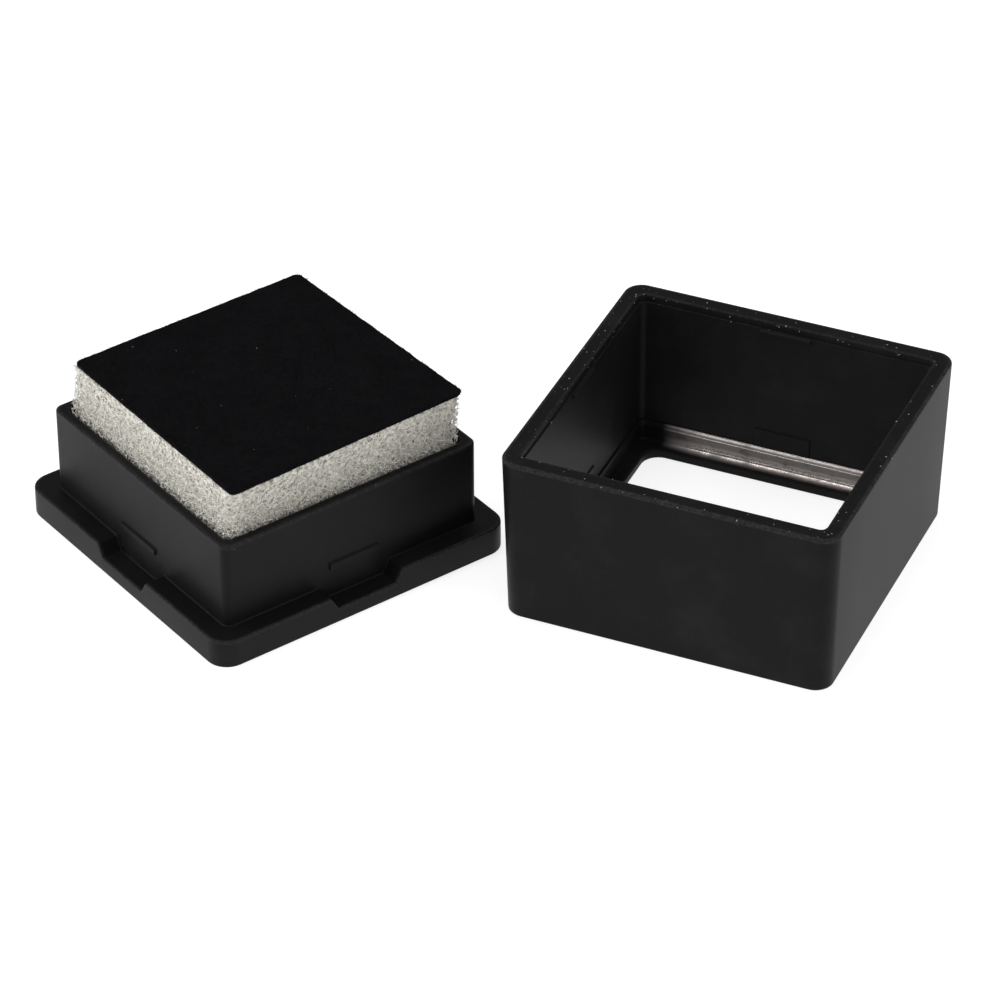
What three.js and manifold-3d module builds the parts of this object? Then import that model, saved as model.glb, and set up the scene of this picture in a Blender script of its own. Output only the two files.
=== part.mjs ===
// A square ink pad, laid out open: the tray with its inked sponge, and beside it the loose cover,
// turned rim up. Millimetres, +Z up, standing on Z = 0.
import * as THREE from "three";
import { mergeVertices } from "three/addons/utils/BufferGeometryUtils.js";
import Module from "manifold-3d";

// Pad: a sponge block with a thin ink cloth on top.
const PAD_SIDE = 39.9;
const PAD_CORNER = 1.2;
const CLOTH_THICKNESS = 0.7;
const CLOTH_INSET = 0.25;
const PAD_PROUD = 8.4; // how far the cloth's face stands above the tray's walls

// Tray: four thin walls on a wider flange.
const TRAY_HEIGHT = 17.9;
const TRAY_WALL = 1.5;
const TRAY_FLOOR = 2.0;
const TRAY_CORNER = 1.3;
const FLANGE_HEIGHT = 4.4;
const FLANGE_CORNER = 3.2;
const FOOT_WIDTH = 4.0; // flat ring that the tray stands on
const FOOT_RECESS = 0.8;

// Thumb notches, one in the middle of each side of the flange.
const NOTCH_FLOOR_LENGTH = 9.8;
const NOTCH_DEPTH = 2.1;
const NOTCH_END_RUN = 1.2; // each end leans out by this much over the depth

// Cover: a square sleeve with a window in its far end.
const COVER_WALL = 2.7;
const COVER_DRAFT_DEG = 1.45;
const COVER_CORNER = 2.7;
const COVER_INNER_CORNER = 1.0;
const PAD_RECESS = 4.3; // depth of the cloth below the window's face once the cover is on
const WINDOW_LIP = 2.4;
const WINDOW_CORNER = 2.8;
const WINDOW_PLATE = 1.3;
const BAND_HEIGHT = 3.2; // thicker foot of the inner wall, above the window plate
const BAND_PROUD = 0.3;
const LEAD_IN_WIDTH = 0.2; // small step inside the rim
const LEAD_IN_DEPTH = 1.2;
const SHUTOFF_LENGTH = 8.5; // low raised flats in the middle of each inner wall
const SHUTOFF_HEIGHT = 3.0;
const SHUTOFF_PROUD = 0.2;

// Snap beads: the cover's bead passes the tray's bead and stays below it.
const TRAY_BEAD_LENGTH = 8.4;
const TRAY_BEAD_HEIGHT = 1.2;
const TRAY_BEAD_PROUD = 0.35;
const COVER_BEAD_LENGTH = 7.6;
const COVER_BEAD_HEIGHT = 0.8;
const COVER_BEAD_DEPTH = 1.7; // from the rim to the middle of the bead
const SNAP_OVERLAP = 0.15;
const SNAP_PLAY = 0.3; // space between the two beads once the cover is on

// Fits.
const PAD_GAP = 0.3; // between the sponge and the tray, and between the sponge and the cloth
const COVER_CLEARANCE = 0.55; // between the tray's walls and the cover's, on each side

// Layout: the two parts stand on the X axis, each turned about its own upright axis.
const TRAY_TURN_DEG = 43.7;
const COVER_TURN_DEG = -16.2;
const PARTS_GAP = 2.0;

// Overshoot of a cutting solid past the face it opens, and root of a bead inside its wall.
const CUT_OVER = 1.0;
const BEAD_ROOT = 0.5;
const ARC_STEPS = 6;
const SIDES = 4;

// Sizes that follow.
const pocketSide = PAD_SIDE + 2 * PAD_GAP;
const traySide = pocketSide + 2 * TRAY_WALL;
const coverInnerSide = traySide + 2 * COVER_CLEARANCE;
const coverSide = coverInnerSide + 2 * COVER_WALL;
const flangeSide = coverSide;
const padTop = TRAY_HEIGHT + PAD_PROUD;
const clothBottom = padTop - CLOTH_THICKNESS;
const spongeBottom = TRAY_FLOOR + PAD_GAP;
const spongeHeight = clothBottom - PAD_GAP - spongeBottom;
const coverHeight = padTop + PAD_RECESS - FLANGE_HEIGHT;
const coverBeadProud = COVER_CLEARANCE + SNAP_OVERLAP - TRAY_BEAD_PROUD;
const coverBeadZ = coverHeight - COVER_BEAD_DEPTH;
const trayBeadZ =
  FLANGE_HEIGHT + COVER_BEAD_DEPTH + COVER_BEAD_HEIGHT / 2 + SNAP_PLAY + TRAY_BEAD_HEIGHT / 2;

const wasm = await Module();
wasm.setup();

// The manifold solid of a closed geometry.
function toSolid(geometry) {
  const bare = geometry.clone();
  bare.deleteAttribute("normal");
  bare.deleteAttribute("uv");
  const merged = mergeVertices(bare);
  return new wasm.Manifold(
    new wasm.Mesh({
      numProp: 3,
      vertProperties: new Float32Array(merged.attributes.position.array),
      triVerts: new Uint32Array(merged.index.array),
    }),
  );
}

// The geometry of a manifold solid.
function toGeometry(solid) {
  const mesh = solid.getMesh();
  const geometry = new THREE.BufferGeometry();
  geometry.setAttribute("position", new THREE.BufferAttribute(mesh.vertProperties, mesh.numProp));
  geometry.setIndex(new THREE.BufferAttribute(mesh.triVerts, 1));
  geometry.computeVertexNormals();
  return geometry;
}

// A square outline with round corners, centred on the origin.
function roundedSquare(side, radius) {
  const half = side / 2;
  const inner = half - radius;
  const shape = new THREE.Shape();
  shape.moveTo(inner, -half);
  shape.absarc(inner, -inner, radius, -Math.PI / 2, 0);
  shape.absarc(inner, inner, radius, 0, Math.PI / 2);
  shape.absarc(-inner, inner, radius, Math.PI / 2, Math.PI);
  shape.absarc(-inner, -inner, radius, Math.PI, 1.5 * Math.PI);
  shape.closePath();
  return shape;
}

// An upright square block with round corners, from one height to another.
function block(side, radius, bottom, top) {
  const geometry = new THREE.ExtrudeGeometry(roundedSquare(side, radius), {
    depth: top - bottom,
    bevelEnabled: false,
    curveSegments: ARC_STEPS,
  });
  return geometry.translate(0, 0, bottom);
}

// Draws the sides of a block in towards its bottom, keeping its top as it is.
function draft(geometry, side, height, degrees) {
  const slope = Math.tan(THREE.MathUtils.degToRad(degrees)) / (side / 2);
  const position = geometry.attributes.position;
  for (let i = 0; i < position.count; i += 1) {
    const scale = 1 - (height - position.getZ(i)) * slope;
    position.setX(i, position.getX(i) * scale);
    position.setY(i, position.getY(i) * scale);
  }
  return geometry;
}

// A bar that runs along Y, centred, from a profile of [outward X, Z] points.
function bar(profile, length) {
  const shape = new THREE.Shape(profile.map(([x, z]) => new THREE.Vector2(x, z)));
  const geometry = new THREE.ExtrudeGeometry(shape, { depth: length, bevelEnabled: false });
  geometry.translate(0, 0, -length / 2);
  return geometry.rotateX(Math.PI / 2);
}

// The same geometry on each of the four sides, as a list of solids.
function onEachSide(geometry) {
  const solids = [];
  for (let side = 0; side < SIDES; side += 1) {
    const turned = geometry.clone().rotateZ((side * 2 * Math.PI) / SIDES);
    solids.push(toSolid(turned));
  }
  return solids;
}

function addAll(solid, others) {
  return others.reduce((sum, other) => sum.add(other), solid);
}

function subtractAll(solid, others) {
  return others.reduce((rest, other) => rest.subtract(other), solid);
}

// A low bead with sloping flanks, standing out from a wall face at X = face.
// outward is 1 for a wall's outer face and -1 for its inner face.
function bead(face, outward, proud, height, z, length) {
  const profile = [
    [face - outward * BEAD_ROOT, z - height / 2],
    [face, z - height / 2],
    [face + outward * proud, z - height / 4],
    [face + outward * proud, z + height / 4],
    [face, z + height / 2],
    [face - outward * BEAD_ROOT, z + height / 2],
  ];
  return bar(outward > 0 ? profile : profile.reverse(), length);
}

// A notch cutter: a trough across the flange, with leaning ends, open at the top and outside.
function notchCutter() {
  const floor = FLANGE_HEIGHT - NOTCH_DEPTH;
  const lean = NOTCH_END_RUN / NOTCH_DEPTH;
  const floorHalf = NOTCH_FLOOR_LENGTH / 2;
  const topHalf = floorHalf + (NOTCH_DEPTH + CUT_OVER) * lean;
  const trough = new THREE.Shape([
    new THREE.Vector2(-floorHalf, floor),
    new THREE.Vector2(floorHalf, floor),
    new THREE.Vector2(topHalf, FLANGE_HEIGHT + CUT_OVER),
    new THREE.Vector2(-topHalf, FLANGE_HEIGHT + CUT_OVER),
  ]);
  const inside = traySide / 2 - TRAY_WALL / 2;
  const outside = flangeSide / 2 + CUT_OVER;
  const geometry = new THREE.ExtrudeGeometry(trough, {
    depth: outside - inside,
    bevelEnabled: false,
  });
  geometry.rotateX(Math.PI / 2);
  geometry.rotateZ(Math.PI / 2);
  return geometry.translate(inside, 0, 0);
}

function trayGeometry() {
  const flange = toSolid(block(flangeSide, FLANGE_CORNER, 0, FLANGE_HEIGHT));
  const notched = subtractAll(flange, onEachSide(notchCutter()));
  const walls = toSolid(block(traySide, TRAY_CORNER, TRAY_FLOOR / 2, TRAY_HEIGHT));
  const pocket = toSolid(block(pocketSide, PAD_CORNER, TRAY_FLOOR, TRAY_HEIGHT + CUT_OVER));
  const recessSide = flangeSide - 2 * FOOT_WIDTH;
  const recess = toSolid(block(recessSide, FLANGE_CORNER, -CUT_OVER, FOOT_RECESS));
  const beads = onEachSide(
    bead(traySide / 2, 1, TRAY_BEAD_PROUD, TRAY_BEAD_HEIGHT, trayBeadZ, TRAY_BEAD_LENGTH),
  );
  const shell = notched.add(walls).subtract(pocket).subtract(recess);
  return toGeometry(addAll(shell, beads));
}

function coverGeometry() {
  const outerBlock = block(coverSide, COVER_CORNER, 0, coverHeight);
  const outer = toSolid(draft(outerBlock, coverSide, coverHeight, COVER_DRAFT_DEG));
  const bandTop = WINDOW_PLATE + BAND_HEIGHT;
  const rimTop = coverHeight + CUT_OVER;
  const bandSide = coverInnerSide - 2 * BAND_PROUD;
  const leadInSide = coverInnerSide + 2 * LEAD_IN_WIDTH;
  const windowSide = coverInnerSide - 2 * WINDOW_LIP;
  const cavity = [
    toSolid(block(windowSide, WINDOW_CORNER, -CUT_OVER, rimTop)),
    toSolid(block(bandSide, COVER_INNER_CORNER, WINDOW_PLATE, rimTop)),
    toSolid(block(coverInnerSide, COVER_INNER_CORNER, bandTop, rimTop)),
    toSolid(block(leadInSide, COVER_INNER_CORNER, coverHeight - LEAD_IN_DEPTH, rimTop)),
  ];
  const face = coverInnerSide / 2;
  const beads = onEachSide(
    bead(face, -1, coverBeadProud, COVER_BEAD_HEIGHT, coverBeadZ, COVER_BEAD_LENGTH),
  );
  const shutoffProfile = [
    [face - SHUTOFF_PROUD, bandTop - BEAD_ROOT],
    [face + BEAD_ROOT, bandTop - BEAD_ROOT],
    [face + BEAD_ROOT, bandTop + SHUTOFF_HEIGHT],
    [face - SHUTOFF_PROUD, bandTop + SHUTOFF_HEIGHT],
  ];
  const shutoffs = onEachSide(bar(shutoffProfile, SHUTOFF_LENGTH));
  const shell = subtractAll(outer, cavity);
  return toGeometry(addAll(addAll(shell, beads), shutoffs));
}

function piece(name, geometry, color, roughness) {
  const material = new THREE.MeshStandardMaterial({ color, roughness, metalness: 0 });
  const mesh = new THREE.Mesh(geometry, material);
  mesh.name = name;
  return mesh;
}

// How far a square with round corners reaches along X once it is turned about Z.
function turnedReach(side, radius, degrees) {
  const angle = THREE.MathUtils.degToRad(degrees);
  const spread = Math.abs(Math.cos(angle)) + Math.abs(Math.sin(angle));
  return (side / 2 - radius) * spread + radius;
}

const trayReach = turnedReach(flangeSide, FLANGE_CORNER, TRAY_TURN_DEG);
const coverReach = turnedReach(coverSide, COVER_CORNER, COVER_TURN_DEG);
const halfLength = trayReach + coverReach + PARTS_GAP / 2;

const tray = piece("tray", trayGeometry(), 0x26262a, 0.55);

const sponge = piece("sponge", block(PAD_SIDE, PAD_CORNER, 0, spongeHeight), 0xb8b6ad, 0.95);
sponge.position.z = spongeBottom;

const clothSide = PAD_SIDE - 2 * CLOTH_INSET;
const clothBlock = block(clothSide, PAD_CORNER, 0, CLOTH_THICKNESS);
const inkSurface = piece("ink_surface", clothBlock, 0x08080a, 0.9);
inkSurface.position.z = clothBottom;

const cover = piece("cover", coverGeometry(), 0x29292b, 0.5);

const pad = new THREE.Group();
pad.add(sponge, inkSurface);

const trayStand = new THREE.Group();
trayStand.position.x = trayReach - halfLength;
trayStand.rotation.z = THREE.MathUtils.degToRad(TRAY_TURN_DEG);
trayStand.add(tray, pad);

const coverStand = new THREE.Group();
coverStand.position.x = halfLength - coverReach;
coverStand.rotation.z = THREE.MathUtils.degToRad(COVER_TURN_DEG);
coverStand.add(cover);

const inkPad = new THREE.Group();
inkPad.add(trayStand, coverStand);

export default inkPad;
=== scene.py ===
# %% [markdown]
# # A square ink pad, laid open
# The real thing is two black plastic mouldings that snap together. On the left stands the
# tray, with a block of white foam in it and a piece of black ink cloth on the foam. On the
# right lies its cover, a square sleeve with a window in its far end, turned rim up.
#
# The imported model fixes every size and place, but its solids are plain. Here each of them is
# replaced by a finished piece of the same size, with the rounded edges, snap beads, foam
# cells, cloth pile and dust of the real one.

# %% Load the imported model
import itertools
import math

import bmesh
import bpy
import numpy as np
from mathutils import Matrix, Quaternion, Vector
from mathutils.geometry import box_fit_2d
from mathutils.noise import noise


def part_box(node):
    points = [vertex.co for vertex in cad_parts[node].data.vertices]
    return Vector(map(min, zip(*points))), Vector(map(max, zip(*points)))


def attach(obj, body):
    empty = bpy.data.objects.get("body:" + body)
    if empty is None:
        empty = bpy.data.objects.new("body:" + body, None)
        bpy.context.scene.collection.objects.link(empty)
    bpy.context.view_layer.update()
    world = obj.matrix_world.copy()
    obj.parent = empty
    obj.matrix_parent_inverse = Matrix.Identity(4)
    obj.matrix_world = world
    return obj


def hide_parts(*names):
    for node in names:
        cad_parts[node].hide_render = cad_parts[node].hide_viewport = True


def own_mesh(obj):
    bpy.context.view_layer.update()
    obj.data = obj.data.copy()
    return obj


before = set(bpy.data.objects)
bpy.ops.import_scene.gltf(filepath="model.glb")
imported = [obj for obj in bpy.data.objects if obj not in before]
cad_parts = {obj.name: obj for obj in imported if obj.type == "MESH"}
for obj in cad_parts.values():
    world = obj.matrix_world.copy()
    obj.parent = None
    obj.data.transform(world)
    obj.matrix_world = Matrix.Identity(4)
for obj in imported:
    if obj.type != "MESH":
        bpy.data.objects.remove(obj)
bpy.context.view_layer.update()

MM = 0.001
SQUARE_SIDES = 4

# %% [markdown]
# ## Camera
# Small products are shot from well back with a long lens, so that parallel edges stay almost
# parallel. The camera is aimed at a point on the table just behind the middle of the model,
# and stands in a direction given by an azimuth and an elevation, which is easier to think
# about than three coordinates.

# %% Make the camera
CAMERA_AIM = Vector((1.19, 10.62, 0.0)) * MM
CAMERA_DISTANCE = 751.8 * MM
CAMERA_AZIMUTH = math.radians(7.07)
CAMERA_ELEVATION = math.radians(35.36)
CAMERA_ROLL = math.radians(-0.125)
LENS = 186.13  # on a sensor 36 mm wide, both in millimetres

towards_camera = Vector((
    math.sin(CAMERA_AZIMUTH) * math.cos(CAMERA_ELEVATION),
    -math.cos(CAMERA_AZIMUTH) * math.cos(CAMERA_ELEVATION),
    math.sin(CAMERA_ELEVATION),
))
camera_data = bpy.data.cameras.new("camera")
camera_data.lens = LENS
camera_data.sensor_width = 36
camera_data.clip_start = 0.05
camera_data.clip_end = 20
camera = bpy.data.objects.new("camera", camera_data)
camera.rotation_mode = "QUATERNION"
camera.location = CAMERA_AIM + towards_camera * CAMERA_DISTANCE
level = (-towards_camera).to_track_quat("-Z", "Y")
camera.rotation_quaternion = level @ Quaternion((0, 0, 1), CAMERA_ROLL)
bpy.context.scene.collection.objects.link(camera)
bpy.context.scene.camera = camera
print("camera at, mm:", [round(v / MM, 1) for v in camera.location])

# %% [markdown]
# ## Nodes and colours
# A material is a small graph of nodes. One helper adds a node, sets its options and either
# sets or links each of its inputs. A few more add the kinds that come up again and again, and
# each gives the socket that holds the result. Colours are picked as sRGB hex values, the way a
# paint program shows them, and one function turns them into the linear light of a shader.

# %% Helpers for materials
def linear(hex_colour):
    """An sRGB hex colour as linear red, green, blue and alpha."""
    channels = [int(hex_colour[i:i + 2], 16) / 255 for i in (1, 3, 5)]
    return [c / 12.92 if c <= 0.04045 else ((c + 0.055) / 1.055) ** 2.4 for c in channels] + [1]


def add(tree, kind, inputs=(), **options):
    """Adds a node, sets its options, and gives each input a value or a link."""
    node = tree.nodes.new(kind)
    for name, value in options.items():
        setattr(node, name, value)
    for name, value in dict(inputs).items():
        if isinstance(value, bpy.types.NodeSocket):
            tree.links.new(value, node.inputs[name])
        else:
            node.inputs[name].default_value = value
    return node


# The colour sockets of a Mix node, which has three inputs named A and three named B.
MIX_A = 6
MIX_B = 7
MIX_RESULT = 2


def noise_texture(tree, place, size, detail, roughness):
    """Noise whose largest blobs have a given size, in metres."""
    settings = {"Scale": 1 / size, "Detail": detail, "Roughness": roughness}
    return add(tree, "ShaderNodeTexNoise", {"Vector": place, **settings}).outputs["Fac"]


def ramp(tree, value, low, high, to_low=0.0, to_high=1.0):
    """A value that rises with another one between low and high, and is level outside."""
    limits = {"From Min": low, "From Max": high, "To Min": to_low, "To Max": to_high}
    return add(tree, "ShaderNodeMapRange", {"Value": value, **limits}).outputs["Result"]


def product(tree, left, right):
    return add(tree, "ShaderNodeMath", {0: left, 1: right}, operation="MULTIPLY").outputs["Value"]


def mixed(tree, share, start, end):
    """A colour that turns from start to end as share goes from 0 to 1."""
    colours = {"Factor": share, MIX_A: start, MIX_B: end}
    return add(tree, "ShaderNodeMix", colours, data_type="RGBA").outputs[MIX_RESULT]


def bump(tree, shader, height, strength, depth):
    """Links a bump map to a shader, on top of one that is there; depth in metres."""
    settings = {"Height": height, "Strength": strength, "Distance": depth}
    for link in shader.inputs["Normal"].links:
        settings["Normal"] = link.from_socket
    node = add(tree, "ShaderNodeBump", settings)
    tree.links.new(node.outputs["Normal"], shader.inputs["Normal"])


def new_material(name):
    """An empty material: its node tree and its Principled shader."""
    material = bpy.data.materials.new(name)
    material.use_nodes = True
    tree = material.node_tree
    return material, tree, tree.nodes["Principled BSDF"]

# %% [markdown]
# ## Table and light
# The set is a light table: a sheet of opal acrylic lit from below, which swallows shadows.
# Round it stand four soft boxes, the strong ones to the left and overhead, the weak ones to the
# right and in front. Black plastic shows little but the reflections of what stands round it, so
# the side boxes draw the faces that look sideways, and the faces that look at the camera, with
# only the weak front box and the sky before them, stay dark.

# %% Table, sky and soft boxes
TABLE_HALF = 4.0
TABLE_COLOUR = "#bcbcbc"
TABLE_GLOW = 0.72  # how brightly the sheet shines by itself
TABLE_ROUGHNESS = 0.9
TABLE_SHINE = 0.2

bpy.context.scene.view_settings.view_transform = "Standard"

table_material, tree, shader = new_material("opal_acrylic_light_table")
shader.inputs["Base Color"].default_value = linear(TABLE_COLOUR)
shader.inputs["Roughness"].default_value = TABLE_ROUGHNESS
shader.inputs["Specular IOR Level"].default_value = TABLE_SHINE
shader.inputs["Emission Color"].default_value = linear("#ffffff")
shader.inputs["Emission Strength"].default_value = TABLE_GLOW

table_mesh = bpy.data.meshes.new("table")
corners = [(x * TABLE_HALF, y * TABLE_HALF, 0) for x, y in ((-1, -1), (1, -1), (1, 1), (-1, 1))]
table_mesh.from_pydata(corners, [], [range(SQUARE_SIDES)])
table_mesh.materials.append(table_material)
table = bpy.data.objects.new("table", table_mesh)
bpy.context.scene.collection.objects.link(table)

SKY_COLOUR = "#ffffff"
SKY_STRENGTH = 0.24
world = bpy.data.worlds.new("studio")
world.use_nodes = True
world.node_tree.nodes["Background"].inputs["Color"].default_value = linear(SKY_COLOUR)
world.node_tree.nodes["Background"].inputs["Strength"].default_value = SKY_STRENGTH
bpy.context.scene.world = world


def soft_box(name, place, aim, side, watts):
    """A square lamp at a place, facing the aim; both in metres."""
    data = bpy.data.lights.new(name, "AREA")
    data.shape = "SQUARE"
    data.size = side
    data.energy = watts
    lamp = bpy.data.objects.new(name, data)
    lamp.location = place
    lamp.rotation_euler = (Vector(aim) - Vector(place)).to_track_quat("-Z", "Y").to_euler()
    bpy.context.scene.collection.objects.link(lamp)


SIDE_BOX = 0.6  # side of each lamp, in metres
OVERHEAD_BOX = 1.0
soft_box("left_box", (-0.75, -0.25, 0.35), (-0.03, 0, 0.01), SIDE_BOX, watts=4.3)
soft_box("right_box", (0.75, -0.15, 0.35), (0.03, 0, 0.01), SIDE_BOX, watts=2.1)
soft_box("front_box", (0.15, -0.9, 0.45), (0, 0, 0.01), SIDE_BOX, watts=1.6)
soft_box("overhead_box", (0, 0.1, 1.1), (0, 0, 0), OVERHEAD_BOX, watts=6.5)

# %% [markdown]
# ## Where the two square parts stand
# Both parts are square and each is turned about its own upright axis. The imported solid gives
# both numbers: the middle of its box is the axis, and the smallest rectangle round its
# outline gives the turn. Every piece is then built in millimetres in the part's own straight
# axes, and one function carries the points to their place in the model.

# %% Stand of each part
def stand_of(node):
    """The axis and the turn of a square CAD part."""
    low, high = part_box(node)
    outline = [v.co.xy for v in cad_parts[node].data.vertices]
    quarter = math.pi / 2
    turn = (box_fit_2d(outline) * -1 + quarter / 2) % quarter - quarter / 2
    return Vector(((low.x + high.x) / 2, (low.y + high.y) / 2, 0)), turn


def half_side(node, stand):
    """Half the side of a square CAD part, in mm, measured square to its own axes."""
    centre, turn = stand
    back = Matrix.Rotation(-turn, 4, "Z") @ Matrix.Translation(-centre)
    return max(abs((back @ v.co).x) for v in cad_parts[node].data.vertices) / MM


def placed(points, stand):
    """Points in a part's own axes, in mm, as points of the model, in metres."""
    centre, turn = stand
    forward = np.array(Matrix.Rotation(turn, 3, "Z"))
    return np.asarray(points) * MM @ forward.T + np.array(centre)


tray_stand = stand_of("tray")
cover_stand = stand_of("cover")
for name, (centre, turn) in (("tray", tray_stand), ("cover", cover_stand)):
    print(name, "axis, mm:", round(centre.x / MM, 2), "turn:", round(math.degrees(turn), 2))

flange_half = half_side("tray", tray_stand)
cover_half = half_side("cover", cover_stand)
pad_half = half_side("sponge", tray_stand)
cloth_half = half_side("ink_surface", tray_stand)
tray_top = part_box("tray")[1].z / MM
cover_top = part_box("cover")[1].z / MM
sponge_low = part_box("sponge")[0].z / MM
cloth_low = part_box("ink_surface")[0].z / MM
cloth_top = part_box("ink_surface")[1].z / MM
print("halves, mm:", [round(v, 2) for v in (flange_half, cover_half, pad_half, cloth_half)])
print("tops, mm:", [round(v, 2) for v in (tray_top, cover_top, cloth_low, cloth_top)])

# %% [markdown]
# ## Square loops: how the mouldings are made
# A square moulding is one section carried round a square with round corners. So each shell is
# a stack of loops: every bend of the section is a loop, a rounded bend is a few loops close
# together, and quads join each loop to the next. This gives true fillets, which a bevel on a
# cut solid seldom does, and it lets a short feature in the middle of a side, such as a notch
# or a snap bead, be a smooth push of the points that lie there.

# %% One loop round a square
CORNER_STEPS = 8
FAR_ALONG = 1000.0  # stands for a place on a corner, clear of every feature on a side


def square_loop(half, corner, stations):
    """Points round a square with round corners, and how far each is from its side's middle.

    The quarter turn's points come first; the other three are the same, turned."""
    reach = half - corner
    shrink = min(1.0, reach / (stations[-1] + 1.0))
    along = np.concatenate([[-reach], stations * shrink, [reach]])
    side = np.stack([np.full(len(along), half), along], axis=1)
    turns = np.linspace(0, math.pi / 2, CORNER_STEPS + 1)[1:-1]
    arc = reach + corner * np.stack([np.cos(turns), np.sin(turns)], axis=1)
    return np.concatenate([side, arc]), np.concatenate([along, np.full(len(arc), FAR_ALONG)])


def plateau(along, flat_half, run, soften):
    """1 in the middle of a side, sloping to 0 over run past flat_half, with soft bends."""
    shifts = np.linspace(-soften / 2, soften / 2, 7)
    slopes = [np.clip((flat_half + run - np.abs(along) - s) / run, 0, 1) for s in shifts]
    return np.mean(slopes, axis=0)


def mirrored(distances):
    """Distances from the middle, on both sides of it and in order."""
    distances = np.unique(np.round(distances, 3))
    return np.concatenate([-distances[::-1], [0.0], distances])

# %% Rounding the bends of a section
FILLET_STEPS = 4
GUARD = 0.25  # a loop this far past a rounded edge stops its wear from spreading


def bend(half, z, corner, fillet=0.0, **marks):
    """One bend of a section: half side, height, corner radius, fillet and marks."""
    blank = {"edge": 0.0, "ink": 0.0, "dust": 0.0, "push": None, "lift": None}
    return {"half": half, "z": z, "corner": corner, "fillet": fillet, **blank, **marks}


def towards(here, other, distance):
    """The bend here, moved a distance towards another bend."""
    run = math.hypot(other["half"] - here["half"], other["z"] - here["z"])
    share = min(distance / run, 0.45)
    moved = {k: here[k] + (other[k] - here[k]) * share for k in ("half", "z", "corner")}
    return {**here, **moved}


def rounded(section, closed):
    """The loops of a section: each bend with a fillet becomes a short curve."""
    loops = []
    for index, here in enumerate(section):
        at_end = index in (0, len(section) - 1) and not closed
        if at_end or here["fillet"] == 0:
            loops.append(here)
            continue
        before = section[index - 1]
        after = section[(index + 1) % len(section)]
        start = towards(here, before, here["fillet"])
        end = towards(here, after, here["fillet"])
        if here["edge"]:
            loops.append({**towards(start, before, GUARD), "edge": 0.0})
        for share in np.linspace(0, 1, FILLET_STEPS + 1):
            weights = ((1 - share) ** 2, 2 * share * (1 - share), share ** 2)
            curve = {
                k: sum(w * b[k] for w, b in zip(weights, (start, here, end)))
                for k in ("half", "z", "corner")
            }
            loops.append({**here, **curve})
        if here["edge"]:
            loops.append({**towards(end, after, GUARD), "edge": 0.0})
    return loops

# %% From loops to a closed mesh
SHARP = math.radians(40)


def new_piece(name, mesh, material=None):
    """A mesh as an object of the scene."""
    if material:
        mesh.materials.clear()
        mesh.materials.append(material)
    piece = bpy.data.objects.new(name, mesh)
    bpy.context.scene.collection.objects.link(piece)
    return piece


def loft(name, section, stations, stand, closed=False, shape=None):
    """A mesh from the loops of a section, its marks kept as point attributes.

    A closed section runs all the way round the wall; an open one ends in two flat lids.
    shape, if given, moves the finished points, in the part's own axes."""
    rows = []
    marks = {"edge": [], "ink": [], "dust": []}
    loops = rounded(section, closed)
    for loop in loops:
        quarter, along = square_loop(loop["half"], loop["corner"], stations)
        if loop["push"]:
            quarter[:, 0] += loop["push"](along)
        height = np.full(len(quarter), loop["z"])
        if loop["lift"]:
            height += loop["lift"](along)
        for side in range(SQUARE_SIDES):
            turned = quarter @ np.array(Matrix.Rotation(-side * math.pi / 2, 2))
            rows.append(np.column_stack([turned, height]))
        for mark, values in marks.items():
            values.extend([loop[mark]] * SQUARE_SIDES * len(quarter))
    points = np.concatenate(rows)
    if shape:
        points = shape(points)
    count = len(points) // len(loops)
    faces = []
    for row in range(len(loops) if closed else len(loops) - 1):
        below = row * count
        above = (row + 1) % len(loops) * count
        for k in range(count):
            right = (k + 1) % count
            faces.append((below + k, below + right, above + right, above + k))
    if not closed:
        faces.append(range(count))
        faces.append(range(len(points) - count, len(points)))
    mesh = bpy.data.meshes.new(name)
    mesh.from_pydata(placed(points, stand).tolist(), [], [list(f) for f in faces])
    for mark, values in marks.items():
        mesh.attributes.new(mark, "FLOAT", "POINT").data.foreach_set("value", values)
    work = bmesh.new()
    work.from_mesh(mesh)
    bmesh.ops.recalc_face_normals(work, faces=work.faces)
    work.to_mesh(mesh)
    work.free()
    mesh.shade_smooth()
    mesh.set_sharp_from_angle(angle=SHARP)
    print(name, "points:", len(mesh.vertices), "faces:", len(mesh.polygons))
    return mesh

# %% [markdown]
# ## Black moulded plastic
# Both mouldings are black ABS, injected into a steel mould whose outside faces were spark
# eroded. That leaves a fine, even grain of about 0.25 mm, which turns a hard reflection into
# a broad satin one. Edges get polished by handling, so they are smoother and a shade lighter,
# and dry fingers and paper dust leave faint pale smears.
#
# The grain is noise in Object coordinates, which on these pieces are metres, so a size in
# millimetres gives the scale directly. The loops marked as edges drive the wear.

# %% Material of the tray
GRAIN = 0.24 * MM
SMEAR = 9.0 * MM
SCRATCH = 0.5 * MM
GRAIN_DEPTH = 0.05 * MM
SATIN = 0.42  # roughness of the grained faces
SMEAR_DULLS = 0.08  # and how much a smear adds to it
ABS_IOR = 1.53


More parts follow.
